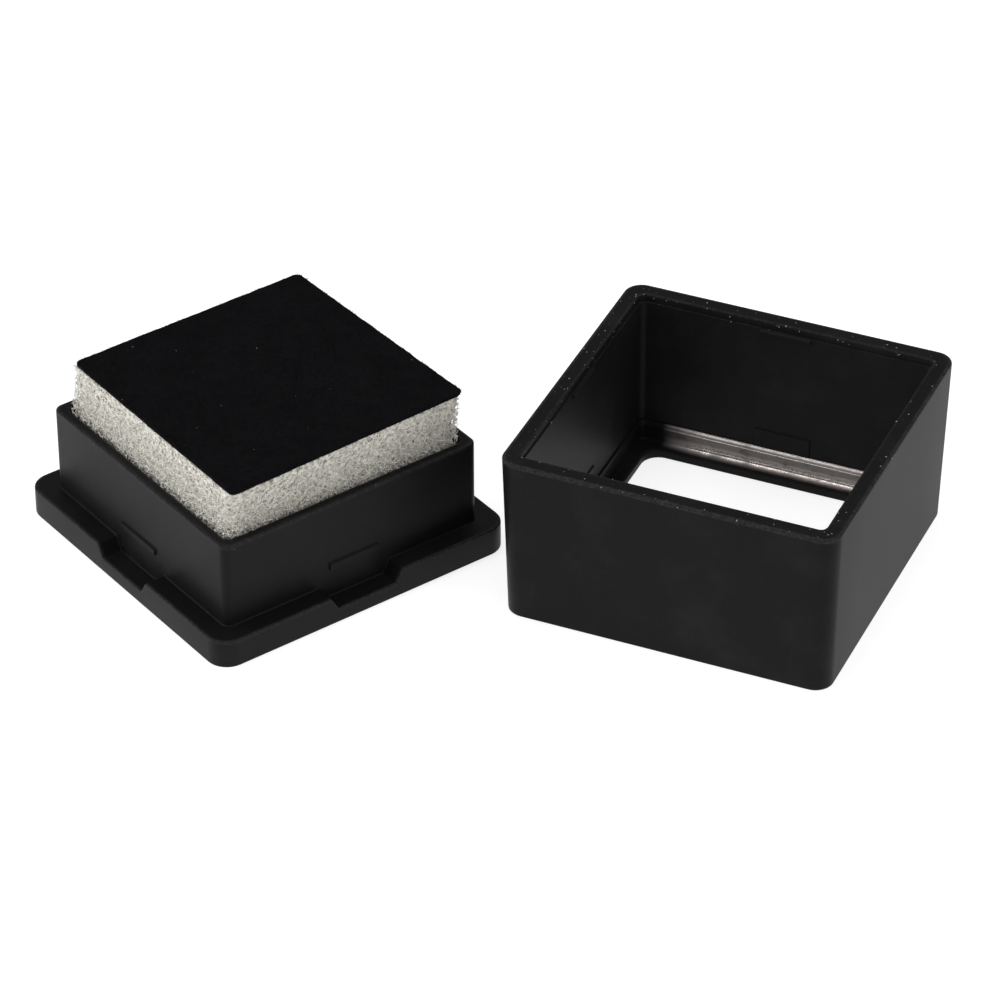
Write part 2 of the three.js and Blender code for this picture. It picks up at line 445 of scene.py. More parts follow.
def black_abs(name, body, smeared, worn, stand):
    """Black ABS with a moulded grain: its material, tree, shader, coordinates and colour.

    The coordinates are the part's own: centred on its axis and square to its sides."""
    material, tree, shader = new_material(name)
    place = add(tree, "ShaderNodeTexCoord").outputs["Object"]
    centre, turn = stand
    back = Matrix.Rotation(-turn, 3, "Z")
    own = add(tree, "ShaderNodeMapping",
              {"Vector": place, "Rotation": (0, 0, -turn), "Location": -(back @ centre)})
    own = own.outputs["Vector"]
    grain = noise_texture(tree, own, GRAIN, 2.0, 0.6)
    smear = ramp(tree, noise_texture(tree, own, SMEAR, 6.0, 0.62), 0.48, 0.78)
    edge = add(tree, "ShaderNodeAttribute", attribute_name="edge").outputs["Fac"]
    chips = ramp(tree, noise_texture(tree, own, SCRATCH, 4.0, 0.7), 0.38, 0.66, 0.15)
    wear = product(tree, edge, chips)
    dull = mixed(tree, smear, linear(body), linear(smeared))
    colour = mixed(tree, wear, dull, linear(worn))
    rough = ramp(tree, smear, 0.0, 1.0, SATIN, SATIN + SMEAR_DULLS)
    bump(tree, shader, grain, 0.5, GRAIN_DEPTH)
    tree.links.new(colour, shader.inputs["Base Color"])
    tree.links.new(rough, shader.inputs["Roughness"])
    shader.inputs["IOR"].default_value = ABS_IOR
    return material, tree, shader, own, colour


TRAY_SHINE = 0.09  # dust and handling have dulled both mouldings, the cover most

tray_abs, tree, shader = black_abs(
    "black_abs_moulded_tray", "#101011", "#171718", "#29292b", tray_stand)[:3]
shader.inputs["Specular IOR Level"].default_value = TRAY_SHINE
print("material:", tray_abs.name)

# %% [markdown]
# ## Tray
# The tray is a shallow box on a wider flange. Its underside is hollow, so that it stands on a
# ring. A thumb notch is cut into the middle of each side of the flange, and above it a small
# snap bead stands out from the wall and holds the closed cover.
#
# Its section runs from the middle of the underside, out over the flange, up the wall and down
# into the pocket. The notch lowers the flange's top where it lies, and the bead pushes the
# wall out, both with the real sloping ends.

# %% Sizes of the tray, in mm
TRAY_WALL = 1.5
TRAY_FLOOR = 2.0
TRAY_CORNER = 1.3
PAD_GAP = 0.3
FLANGE_HEIGHT = 4.4
FLANGE_CORNER = 3.2
FOOT_WIDTH = 4.0
FOOT_RECESS = 0.8
NOTCH_HALF = 4.9
NOTCH_RUN = 1.2
NOTCH_DEPTH = 2.1
TRAY_BEAD_HALF = 4.2
TRAY_BEAD_HEIGHT = 1.2
TRAY_BEAD_PROUD = 0.35
TRAY_BEAD_Z = 7.4
BEAD_END = 0.12  # a bead's ends are almost upright
LID_HALF = 2.0  # the flat lids that close the two ends of an open section
LID_CORNER = 1.0
NOTCH_SOFT = 0.35  # length of the soft bends at a notch, and at a bead
BEAD_SOFT = 0.04
DUST_DEPTH = 1.0  # dust ends this far down the walls of the tray

pocket_half = pad_half + PAD_GAP
wall_half = pocket_half + TRAY_WALL


def notch_lift(along):
    return -NOTCH_DEPTH * plateau(along, NOTCH_HALF, NOTCH_RUN, NOTCH_SOFT)


def tray_bead_push(along):
    return TRAY_BEAD_PROUD * plateau(along, TRAY_BEAD_HALF, BEAD_END, BEAD_SOFT)

# %% Make the tray
tray_section = [
    bend(LID_HALF, FOOT_RECESS, LID_CORNER),
    bend(flange_half - FOOT_WIDTH, FOOT_RECESS, FLANGE_CORNER, 0.3),
    bend(flange_half - FOOT_WIDTH, 0.0, FLANGE_CORNER, 0.2),
    bend(flange_half, 0.0, FLANGE_CORNER, 0.25),
    bend(flange_half, FLANGE_HEIGHT, FLANGE_CORNER, 0.3, edge=1.0, lift=notch_lift),
    bend(wall_half, FLANGE_HEIGHT, TRAY_CORNER, 0.25, lift=notch_lift),
    bend(wall_half, TRAY_BEAD_Z - TRAY_BEAD_HEIGHT / 2, TRAY_CORNER),
    bend(wall_half, TRAY_BEAD_Z - TRAY_BEAD_HEIGHT / 3, TRAY_CORNER, push=tray_bead_push),
    bend(wall_half, TRAY_BEAD_Z + TRAY_BEAD_HEIGHT / 3, TRAY_CORNER, push=tray_bead_push),
    bend(wall_half, TRAY_BEAD_Z + TRAY_BEAD_HEIGHT / 2, TRAY_CORNER),
    bend(wall_half, tray_top - DUST_DEPTH, TRAY_CORNER),
    bend(wall_half, tray_top, TRAY_CORNER, 0.35, edge=1.0, dust=0.5),
    bend(pocket_half, tray_top, TRAY_CORNER, 0.2, edge=0.6, dust=1.0),
    bend(pocket_half, tray_top - DUST_DEPTH, TRAY_CORNER),
    bend(pocket_half, TRAY_FLOOR, TRAY_CORNER, 0.5),
    bend(LID_HALF, TRAY_FLOOR, LID_CORNER),
]
notch_stations = np.arange(NOTCH_HALF - 0.3, NOTCH_HALF + NOTCH_RUN + 0.4, 0.15)
bead_ends = (TRAY_BEAD_HALF - 0.1, TRAY_BEAD_HALF, TRAY_BEAD_HALF + BEAD_END, 4.45)
tray_stations = mirrored([1.5, 3.0, *bead_ends, *notch_stations, 9.0, 13.0])
tray_mesh = loft("tray_shell", tray_section, tray_stations, tray_stand)
tray_shell = new_piece("tray_shell", tray_mesh, tray_abs)
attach(tray_shell, "tray")
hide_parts("tray")

# %% [markdown]
# ## Dried ink in the cover, with painted highlights and shade
# The foot of the cover's wall stands just above the cloth when the pad is closed, so ink has
# crept over it and dried to a glossy film. A thick film of black dye mirrors light like a
# slightly warm metal. The film is part of the cover's material and follows a mark that the
# loops carry. It is partly real ink and partly painted highlight: its pale, almost metal colour
# is laid thick on the band's top edge, the rib's crown and the foot, so that these show as
# bright lines, and thin between them. It lies on the back wall only and is broken up by noise
# as a wiped film is; its fade towards the wall's left end is painted shade, darkening that end.

# %% Material of the cover
FILM_STREAK = 2.2 * MM
FILM_PIT = 0.22 * MM
FILM_FROM = 20.0 * MM  # the film lies past this distance behind the cover's axis
FILM_BLUR = 0.6 * MM  # how softly it begins there
# painted shade: the film fades out to the left of this place, which darkens the band's left end
FILM_SHADE_START = -18.5 * MM  # and to the right of this place along the wall
FILM_SHADE_FADE = 7.0 * MM
PIT_DEPTH = 0.05 * MM
FILM_MIRROR = 0.9  # how much a full film looks like metal
COVER_SHINE = 0.06

cover_abs, tree, shader, own, colour = black_abs(
    "black_abs_moulded_cover", "#131314", "#1c1c1c", "#303030", cover_stand)
# the film's thickness: real dried ink, laid thick on crowns and edges as painted highlight lines
ink = add(tree, "ShaderNodeAttribute", attribute_name="ink").outputs["Fac"]
streaks = noise_texture(tree, own, FILM_STREAK, 3.0, 0.6)
pits = noise_texture(tree, own, FILM_PIT, 3.0, 0.7)
streaks = ramp(tree, streaks, 0.25, 0.5, 0.35)
place = add(tree, "ShaderNodeSeparateXYZ", {"Vector": own}).outputs
back_wall = ramp(tree, place["Y"], FILM_FROM - FILM_BLUR, FILM_FROM)
# painted shade: the film and its bright reflections fade out towards the back wall's left end
left_shade_fade = ramp(tree, place["X"], FILM_SHADE_START, FILM_SHADE_START + FILM_SHADE_FADE)
streaks_and_left_shade = product(tree, streaks, left_shade_fade)
film_highlight = product(tree, product(tree, ink, back_wall), streaks_and_left_shade)
# painted highlight: the film's pale, almost metal colour lights up the band's raised lines
film_highlight_colour = mixed(tree, film_highlight, colour, linear("#e6ddd9"))
film_rough = ramp(tree, film_highlight, 0.0, 1.0, 0.44, 0.16)
film_metal = product(tree, film_highlight, FILM_MIRROR)
bump(tree, shader, product(tree, pits, film_highlight), 0.5, PIT_DEPTH)
tree.links.new(film_highlight_colour, shader.inputs["Base Color"])
tree.links.new(film_rough, shader.inputs["Roughness"])
tree.links.new(film_metal, shader.inputs["Metallic"])
shader.inputs["Specular IOR Level"].default_value = COVER_SHINE
print("material:", cover_abs.name)

# %% [markdown]
# ## Cover
# The cover is a sleeve with slightly leaning outer walls, so that it leaves its mould, and a
# square window with a thin lip in its lower end. Inside the rim there is a small step that
# guides the tray in, then a snap bead in the middle of each side. Lower down each wall carries
# a short raised flat, and its foot is thicker, with a low rib just under its upper edge.
#
# Its section is a closed ring round the wall, from the window's lip outwards, up and back.

# %% Sizes of the cover, in mm
COVER_WALL = 2.7
COVER_DRAFT = math.radians(1.45)
COVER_CORNER = 2.7
INNER_CORNER = 1.0
WINDOW_LIP = 2.4
WINDOW_CORNER = 2.8
WINDOW_PLATE = 1.3
BAND_TOP = 4.5
BAND_PROUD = 0.3
LEAD_IN_WIDTH = 0.2
LEAD_IN_DEPTH = 1.2
FLAT_HALF = 4.25
FLAT_TOP = 7.5
FLAT_PROUD = 0.2
COVER_BEAD_HALF = 3.8
COVER_BEAD_HEIGHT = 0.8
COVER_BEAD_Z = 24.5
COVER_BEAD_PROUD = 0.35
RIB_Z = 3.75
RIB_PROUD = 0.14
RIB_HALF_HEIGHT = 0.22
# where the film lies thin and thick; the thick film paints bright highlight lines
THIN_FILM = 0.3  # share of the ink that stays between the raised lines
THICK_FILM_Z = 2.6  # the ink thickens again from here down to the window's plate
PLATE_FILM = 1.0  # it ends this far over the plate
DUST_REACH = 0.9  # dust ends this far down the outside

inner_half = cover_half - COVER_WALL
window_half = inner_half - WINDOW_LIP
low_half = cover_half - cover_top * math.tan(COVER_DRAFT)


def cover_bead_push(along):
    return -COVER_BEAD_PROUD * plateau(along, COVER_BEAD_HALF, BEAD_END, BEAD_SOFT)


def flat_push(along):
    return -FLAT_PROUD * plateau(along, FLAT_HALF, BEAD_END, BEAD_SOFT)


band_half = inner_half - BAND_PROUD
bead_low = COVER_BEAD_Z - COVER_BEAD_HEIGHT / 2
bead_high = COVER_BEAD_Z + COVER_BEAD_HEIGHT / 2
bead_crown = COVER_BEAD_HEIGHT / 4
step_z = cover_top - LEAD_IN_DEPTH

# %% Make the cover
cover_section = [
    bend(window_half, 0.0, WINDOW_CORNER, 0.25),
    bend(low_half, 0.0, COVER_CORNER, 0.3),
    bend(cover_half - DUST_REACH * math.tan(COVER_DRAFT), cover_top - DUST_REACH, COVER_CORNER),
    bend(cover_half, cover_top, COVER_CORNER, 0.4, edge=1.0, dust=0.4),
    bend(inner_half + LEAD_IN_WIDTH, cover_top, INNER_CORNER, 0.15, edge=0.7, dust=1.0),
    bend(inner_half + LEAD_IN_WIDTH, step_z, INNER_CORNER, 0.06, dust=0.6),
    bend(inner_half, step_z, INNER_CORNER, 0.06, edge=0.5, dust=0.6),
    bend(inner_half, bead_high, INNER_CORNER),
    bend(inner_half, COVER_BEAD_Z + bead_crown, INNER_CORNER, push=cover_bead_push),
    bend(inner_half, COVER_BEAD_Z - bead_crown, INNER_CORNER, push=cover_bead_push),
    bend(inner_half, bead_low, INNER_CORNER),
    bend(inner_half, FLAT_TOP + 0.05, INNER_CORNER),
    bend(inner_half, FLAT_TOP - 0.05, INNER_CORNER, push=flat_push),
    bend(inner_half, BAND_TOP, INNER_CORNER, push=flat_push),
    # a thick film on the band's top edge, the rib's crown and the foot fillet paints bright
    # highlight lines
    bend(band_half, BAND_TOP, INNER_CORNER, 0.14, ink=1.0),
    bend(band_half, RIB_Z + RIB_HALF_HEIGHT, INNER_CORNER, ink=THIN_FILM),
    bend(band_half - RIB_PROUD, RIB_Z, INNER_CORNER, 0.12, ink=1.0),
    bend(band_half, RIB_Z - RIB_HALF_HEIGHT, INNER_CORNER, ink=THIN_FILM),
    bend(band_half, THICK_FILM_Z, INNER_CORNER, ink=THIN_FILM),
    bend(band_half, WINDOW_PLATE, INNER_CORNER, 0.75, ink=1.0),
    bend(band_half - PLATE_FILM, WINDOW_PLATE, INNER_CORNER, ink=0.2),
    bend(window_half, WINDOW_PLATE, WINDOW_CORNER, 0.3, edge=0.3),
]
cover_ends = (COVER_BEAD_HALF - 0.1, COVER_BEAD_HALF, COVER_BEAD_HALF + BEAD_END)
flat_ends = (FLAT_HALF - 0.1, FLAT_HALF, FLAT_HALF + BEAD_END, FLAT_HALF + 0.25)
cover_stations = mirrored([2.0, *cover_ends, *flat_ends, 9.0, 13.0])
cover_mesh = loft("cover_shell", cover_section, cover_stations, cover_stand, closed=True)
cover_shell = new_piece("cover_shell", cover_mesh, cover_abs)
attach(cover_shell, "cover")
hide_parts("cover")

# %% [markdown]
# ## Lean of the pad
# The foam block is cut by hand and stuffed into its pocket, so its free upper part is a little
# out of square: its front corner leans over the wall. One function gives that lean, from
# nothing at the tray's rim to its full amount at the cloth, and every piece of the pad passes
# through it, so that foam, cloth and fibres stay together.

# %% The lean, in mm, at each corner of the cloth
CORNER_LEAN = {
    (-1, -1): (-0.1, -1.8),
    (1, -1): (0.9, -0.5),
    (1, 1): (-0.2, -0.6),
    (-1, 1): (0.4, -0.6),
}
BULGE = 0.25  # the foam swells a little where it leaves its pocket
BULGE_HEIGHT = 2.2
BULGE_RISE = 0.6  # it is widest this far above the rim
BULGE_POWER = 5  # and only the outermost foam swells
LEAN_BEND = 1.2  # above 1, the sides bend as they lean
FAR_EDGE = 1.2  # points further out, as a share of the pad's half side, lean no further


def lean(points):
    """Points of the pad, in the tray's axes, moved as the real block leans and swells."""
    points = np.array(points, float)
    x, y, z = points.T
    share = np.clip((z - tray_top) / (cloth_top - tray_top), 0, 1) ** LEAN_BEND
    across = np.clip(x / pad_half, -FAR_EDGE, FAR_EDGE)
    along = np.clip(y / pad_half, -FAR_EDGE, FAR_EDGE)
    for (side_x, side_y), (move_x, move_y) in CORNER_LEAN.items():
        weight = (1 + side_x * across) * (1 + side_y * along) / 4 * share
        points[:, 0] += move_x * weight
        points[:, 1] += move_y * weight
    swell = BULGE * np.exp(-((z - tray_top - BULGE_RISE) / BULGE_HEIGHT) ** 2) * (z > tray_top - 1)
    points[:, 0] += swell * across ** BULGE_POWER
    points[:, 1] += swell * along ** BULGE_POWER
    return points


TUCK = 0.4  # the foam is cut this much smaller under the cloth
TUCK_HEIGHT = 3.5
CORNER_POWER = 8
STANDS_OUT = 0.9  # except at its left corner, which stands out past the cloth


def foam_lean(points):
    """The lean, after the foam has been tucked in towards its top."""
    points = np.array(points, float)
    x, y, z = points.T
    share = np.clip((z - cloth_low + TUCK_HEIGHT) / TUCK_HEIGHT, 0, 1) ** 2
    left = (np.clip(-x / pad_half, 0, 1) * np.clip(y / pad_half, 0, 1)) ** CORNER_POWER
    size = 1 + (STANDS_OUT * left - TUCK) * share / pad_half
    points[:, 0] *= size
    points[:, 1] *= size
    return lean(points)


LAST_STATION = 18.0  # the pad's loops have points along each side up to here, in mm


def foam_piece(piece):
    """What every piece of foam says: it rides with the pad, on a mesh of its own."""
    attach(piece, "pad")
    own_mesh(piece)

# %% [markdown]
# ## Open-cell foam
# The block is white polyurethane foam. Its cells are open: only their edges are left, as a web
# of thin glassy strands, and a cut face shows the web sliced through, with loose ends. A bump
# texture can't show that in outline, so the outer skin of the block is a real web.
#
# Foam cells pack like fourteen-sided bodies with six squares and eight hexagons, each touching
# its neighbours. Their corners lie at simple fractions of a cubic lattice, so a loop makes the
# web, a little disorder makes it natural, and Geometry Nodes turns each edge into a strand.
# Behind the skin sits a pored core, painted greyer than the strands and darker still in its
# pores: painted shade for the depths of the open cells. Glue has closed the cells just under
# the cloth, so there the core comes out almost to the surface.

# %% Material of the foam
PORE = 0.55 * MM
PORE_DEPTH = 0.35 * MM
FOAM_ROUGHNESS = 0.55
FOAM_IOR = 1.5


def foam_material(name, pale, deep_tone_and_shade, low, high):
    """White polyurethane foam; low and high bound the noise that mixes its two colours."""
    material, tree, shader = new_material(name)
    place = add(tree, "ShaderNodeTexCoord").outputs["Object"]
    pores_and_shade = noise_texture(tree, place, PORE, 3.0, 0.65)
    colour = mixed(tree, ramp(tree, pores_and_shade, low, high), linear(deep_tone_and_shade), linear(pale))
    bump(tree, shader, pores_and_shade, 0.9, PORE_DEPTH)
    tree.links.new(colour, shader.inputs["Base Color"])
    shader.inputs["Roughness"].default_value = FOAM_ROUGHNESS
    shader.inputs["IOR"].default_value = FOAM_IOR
    return material


# the core's colours are painted shade: greyer than the strands and darker in the pores, for the
# depths of the open cells
shaded_core_foam = foam_material("polyurethane_foam_core_painted_shade", "#dddad1", "#8b887f", 0.34, 0.58)
web_foam = foam_material("polyurethane_foam_strands", "#f4f2ea", "#bdbab0", 0.3, 0.6)
print("materials:", shaded_core_foam.name, web_foam.name)

# %% Core of the foam block
SKIN = 0.75  # thickness of the open web round the core, in mm
FOAM_CORNER = 1.6
SMOOTH_HEIGHT = 6.0  # glue closes the cells this far below the cloth
SMOOTH_BEND = 1.2
COVERED = 0.1  # even there, this much of the open web covers the core
CORE_STEP = 1.0

core_half = pad_half - SKIN


def core_growth(z):
    """The core comes out to the surface under the cloth."""
    nearness = max(0.0, 1 - (cloth_low - z) / SMOOTH_HEIGHT)
    return (SKIN - COVERED) * nearness ** SMOOTH_BEND


levels = np.arange(sponge_low + CORE_STEP, cloth_low - CORE_STEP / 2, CORE_STEP)
core_section = [
    bend(LID_HALF, sponge_low, LID_CORNER),
    bend(core_half, sponge_low, FOAM_CORNER, 0.4),
    *[bend(core_half + core_growth(z), z, FOAM_CORNER) for z in levels],
    bend(core_half + core_growth(cloth_low), cloth_low, FOAM_CORNER, 0.3),
    bend(LID_HALF, cloth_low, LID_CORNER),
]
core_stations = mirrored(np.arange(CORE_STEP, LAST_STATION, CORE_STEP))
core_mesh = loft("sponge_core", core_section, core_stations, tray_stand, shape=foam_lean)
sponge_core = new_piece("sponge_core", core_mesh, shaded_core_foam)
foam_piece(sponge_core)
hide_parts("sponge")

# %% Edges of the cell web
CELL = 1.2  # side of the cubic lattice that holds two cells, in mm
DISORDER = 0.3  # how far a corner strays, as a share of the lattice
KEY_BASE = 4096  # more than the lattice's steps along any axis, so that every key is its own
DENSE_HEIGHT = 4.0  # glue has stiffened the foam this far below the cloth
DENSE_GAIN = 0.6
CALM_HEIGHT = 5.5  # and from this far down its cut ends stand out less and less
CALM_LEAST = 0.25
LONGEST_END = 1.6  # a cut strand grows to this share of its length at most
END_STRAY = 0.08
END_THICKNESS = 0.6
OVERRUN = 0.1  # ends may pass the top and bottom of their layer by this much
# The lattice lies askew in the block, so that no cut face shows its rows.
LATTICE_TURN = np.array(Matrix.Rotation(0.5, 3, "X") @ Matrix.Rotation(0.4, 3, "Z"))


def depth_inside(points, half, corner):
    """How deep points lie inside the upright sides of a square with round corners."""
    beyond = np.abs(points[:, :2]) - (half - corner)
    outside = np.linalg.norm(np.maximum(beyond, 0), axis=1)
    return corner - outside - np.minimum(beyond.max(axis=1), 0)


def cell_web(low, high, skin, seed):
    """Corners and edges of the foam cells in the skin of the block, from low to high."""
    quarter = CELL / 4
    cell = [p for p in itertools.product(range(-2, 3), repeat=3)
            if sorted(map(abs, p)) == [0, 1, 2]]
    cell = np.array(cell)
    pairs = [(i, j) for i, j in itertools.combinations(range(len(cell)), 2)
             if np.sum((cell[i] - cell[j]) ** 2) == 2]
    reach = math.ceil(math.hypot(pad_half, pad_half, high) / CELL) + 1
    steps = np.arange(-reach, reach + 1)
    grid = np.stack(np.meshgrid(steps, steps, steps, indexing="ij"), -1).reshape(-1, 3) * 4
    middles = np.concatenate([grid, grid + 2])
    turned = middles * quarter @ LATTICE_TURN
    depth = depth_inside(turned, pad_half, FOAM_CORNER)
    near = (depth > -CELL) & (depth < skin + CELL)
    near &= (turned[:, 2] > low - CELL) & (turned[:, 2] < high + CELL)
    middles = middles[near]
    corners = (middles[:, None] + cell[None]).reshape(-1, 3) + KEY_BASE // 2
    keys = (corners[:, 0] * KEY_BASE + corners[:, 1]) * KEY_BASE + corners[:, 2]
    keys, first, index = np.unique(keys, return_index=True, return_inverse=True)
    points = (corners[first] - KEY_BASE // 2) * quarter @ LATTICE_TURN
    index = index.reshape(len(middles), len(cell))
    edges = np.concatenate([index[:, list(pair)] for pair in pairs])
    edges = np.unique(np.sort(edges, axis=1), axis=0)
    chance = np.random.default_rng(seed)
    points = points + chance.normal(0, DISORDER * CELL / 2, points.shape)
    return points, edges, chance


def cut_web(low, high, skin, fuzz, seed):
    """The web trimmed to the block, its cut ends standing out by a random length."""
    points, edges, chance = cell_web(low, high, skin, seed)
    depth = depth_inside(points, pad_half, FOAM_CORNER)
    inner = np.where(depth[edges[:, 0]] >= depth[edges[:, 1]], edges[:, 0], edges[:, 1])
    outer = edges.sum(axis=1) - inner
    middle_z = points[edges].mean(axis=1)[:, 2]
    kept = (depth[inner] > 0) & (depth[outer] < skin) & (middle_z > low) & (middle_z < high)
    inner, outer = inner[kept], outer[kept]
    cut = depth[outer] < 0
    starts, ends = points[inner], points[outer].copy()
    share = depth[inner] / np.maximum(depth[inner] - depth[outer], 0.05)
    calm = np.clip((cloth_low - middle_z[kept]) / CALM_HEIGHT, CALM_LEAST, 1)
    proud = 1 + chance.exponential(fuzz, len(share)) * calm / CELL
    share = np.where(cut, np.clip(share * proud, 0.1, LONGEST_END), 1)
    ends = starts + (ends - starts) * share[:, None]
    ends[cut] += chance.normal(0, END_STRAY, (cut.sum(), 3))
    both = np.stack([starts, ends], axis=1).reshape(-1, 3)
    both[:, 2] = np.clip(both[:, 2], low - OVERRUN, high + OVERRUN)
    thick = np.stack([np.ones(len(cut)), np.where(cut, END_THICKNESS, 1)], axis=1).reshape(-1)
    thick *= 1 + DENSE_GAIN * np.clip((both[:, 2] - cloth_low) / DENSE_HEIGHT + 1, 0, 1)
    return both, thick

# %% A node tree that turns edges into strands
def strand_tree():
    """Geometry Nodes: every edge becomes a thin bar of few sides with closed ends."""
    tree = bpy.data.node_groups.new("strands", "GeometryNodeTree")
    face = tree.interface
    face.new_socket("Geometry", in_out="INPUT", socket_type="NodeSocketGeometry")
    face.new_socket("Sides", in_out="INPUT", socket_type="NodeSocketInt")
    face.new_socket("Radius", in_out="INPUT", socket_type="NodeSocketFloat")
    face.new_socket("Material", in_out="INPUT", socket_type="NodeSocketMaterial")
    face.new_socket("Geometry", in_out="OUTPUT", socket_type="NodeSocketGeometry")
    given = add(tree, "NodeGroupInput").outputs
    thick = add(tree, "GeometryNodeInputNamedAttribute", {"Name": "thick"}, data_type="FLOAT")
    lines = add(tree, "GeometryNodeMeshToCurve", {"Mesh": given["Geometry"]})
    ring = add(tree, "GeometryNodeCurvePrimitiveCircle",
               {"Resolution": given["Sides"], "Radius": given["Radius"]})
    bars = add(tree, "GeometryNodeCurveToMesh",
               {"Curve": lines.outputs["Curve"], "Profile Curve": ring.outputs["Curve"],
                "Scale": thick.outputs["Attribute"], "Fill Caps": True})
    real = add(tree, "GeometryNodeRealizeInstances", {"Geometry": bars.outputs["Mesh"]})
    coloured = add(tree, "GeometryNodeSetMaterial",
                   {"Geometry": real.outputs["Geometry"], "Material": given["Material"]})
    add(tree, "NodeGroupOutput", {"Geometry": coloured.outputs["Geometry"]})
    return tree


def grown(name, base_mesh, tree, **settings):
    """Runs a node tree on a mesh and returns the result as a plain piece."""
    base = bpy.data.objects.new(name + "_base", base_mesh)
    modifier = base.modifiers.new(tree.name, "NODES")
    modifier.node_group = tree
    for item in tree.interface.items_tree:
        if item.in_out == "INPUT" and item.name in settings:
            modifier[item.identifier] = settings[item.name]
    bpy.context.scene.collection.objects.link(base)
    evaluated = base.evaluated_get(bpy.context.evaluated_depsgraph_get())
    mesh = bpy.data.meshes.new_from_object(evaluated)
    base.modifiers.remove(modifier)
    bpy.data.objects.remove(base)
    piece = new_piece(name, mesh)
    print(name, "triangles:", sum(len(p.vertices) - 2 for p in mesh.polygons))
    return piece

# %% Grow the foam's web
RIM_OVERLAP = 1.2  # the fine web starts this far below the tray's rim
STRAND_RADIUS = 0.06 * MM
strands = strand_tree()


def web_piece(name, low, high, skin, fuzz, seed):
    """One height of the block's web, as strands."""
    points, thick = cut_web(low, high, skin, fuzz, seed)
    mesh = bpy.data.meshes.new(name)
    pairs = [(i, i + 1) for i in range(0, len(points), 2)]
    mesh.from_pydata(placed(foam_lean(points), tray_stand).tolist(), pairs, [])
    mesh.attributes.new("thick", "FLOAT", "POINT").data.foreach_set("value", thick)
    piece = grown(name, mesh, strands, Sides=3, Radius=STRAND_RADIUS, Material=web_foam)
    foam_piece(piece)


rim_z = tray_top - RIM_OVERLAP
web_piece("sponge_web", rim_z, cloth_low, skin=0.9, fuzz=0.16, seed=11)
web_piece("sponge_web_low", sponge_low, rim_z, skin=0.4, fuzz=0.05, seed=12)

# %% [markdown]
# ## Ink cloth
# The cloth is a thin black felt that lies on the foam and is soaked with ink. It is a soft
# square with a slightly rounded edge, a hand-cut outline and a short pile. Its face is almost
# pure black, so the pile matters most in outline and where light grazes it. The sheet is a
# loft of square loops, rippled by a little noise; Geometry Nodes scatters the pile over it,
# one thin tapered hair at a time.

# %% Material of the ink cloth
FELT = 0.9 * MM
MOTTLE = 3.5 * MM
FIBRE_DEPTH = 0.25 * MM
FELT_ROUGHNESS = 0.95
FELT_SHINE = 0.06


def felt_material(name, dark, light):
    """Black wool felt wet with ink: dead matt, faintly mottled."""
    material, tree, shader = new_material(name)
    place = add(tree, "ShaderNodeTexCoord").outputs["Object"]
    mottle = noise_texture(tree, place, MOTTLE, 5.0, 0.7)
    fibre = noise_texture(tree, place, FELT, 4.0, 0.75)
    colour = mixed(tree, ramp(tree, mottle, 0.35, 0.7), linear(dark), linear(light))
    bump(tree, shader, fibre, 0.6, FIBRE_DEPTH)
    tree.links.new(colour, shader.inputs["Base Color"])
    shader.inputs["Roughness"].default_value = FELT_ROUGHNESS
    shader.inputs["Specular IOR Level"].default_value = FELT_SHINE
    return material


ink_felt = felt_material("ink_soaked_wool_felt", "#08080a", "#0e0e10")
print("material:", ink_felt.name)

# %% The cloth
CLOTH_CORNER = 0.8
CLOTH_EDGE = 0.35
CLOTH_UNDERCUT = 0.15
CLOTH_STEP = 0.6
RIPPLE = 0.05
RIPPLE_SIZE = 6.0
OUTLINE_WANDER = 0.09
OUTLINE_FROM = 0.9  # the outline wanders from this share of the half side outwards


def cloth_shape(points):
    """Ripples the cloth's face and lets its hand-cut outline wander, then leans it."""
    points = np.array(points, float)
    for point in points:
        x, y, z = point
        rim = max(abs(x), abs(y)) / cloth_half
        point[2] += RIPPLE * (noise(Vector((x, y, 0)) / RIPPLE_SIZE) - 0.5) * (z > cloth_low + 0.1)
        if rim > OUTLINE_FROM:
            point[:2] *= 1 + OUTLINE_WANDER * noise(Vector((x, y, z))) / cloth_half
    return lean(points)


face_halves = np.linspace(cloth_half - 1.0, LID_HALF, 16)
cloth_section = [
    bend(LID_HALF, cloth_low, LID_CORNER),
    bend(cloth_half - CLOTH_UNDERCUT, cloth_low, CLOTH_CORNER, 0.1, dust=0.6),
    bend(cloth_half, cloth_top, CLOTH_CORNER, CLOTH_EDGE, dust=1.0),
    *[bend(half, cloth_top, CLOTH_CORNER, dust=0.55) for half in face_halves],
]
cloth_stations = mirrored(np.arange(CLOTH_STEP, LAST_STATION, CLOTH_STEP))
cloth_mesh = loft("ink_cloth", cloth_section, cloth_stations, tray_stand, shape=cloth_shape)
ink_cloth = new_piece("ink_cloth", cloth_mesh, ink_felt)
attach(ink_cloth, "pad_face")
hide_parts("ink_surface")

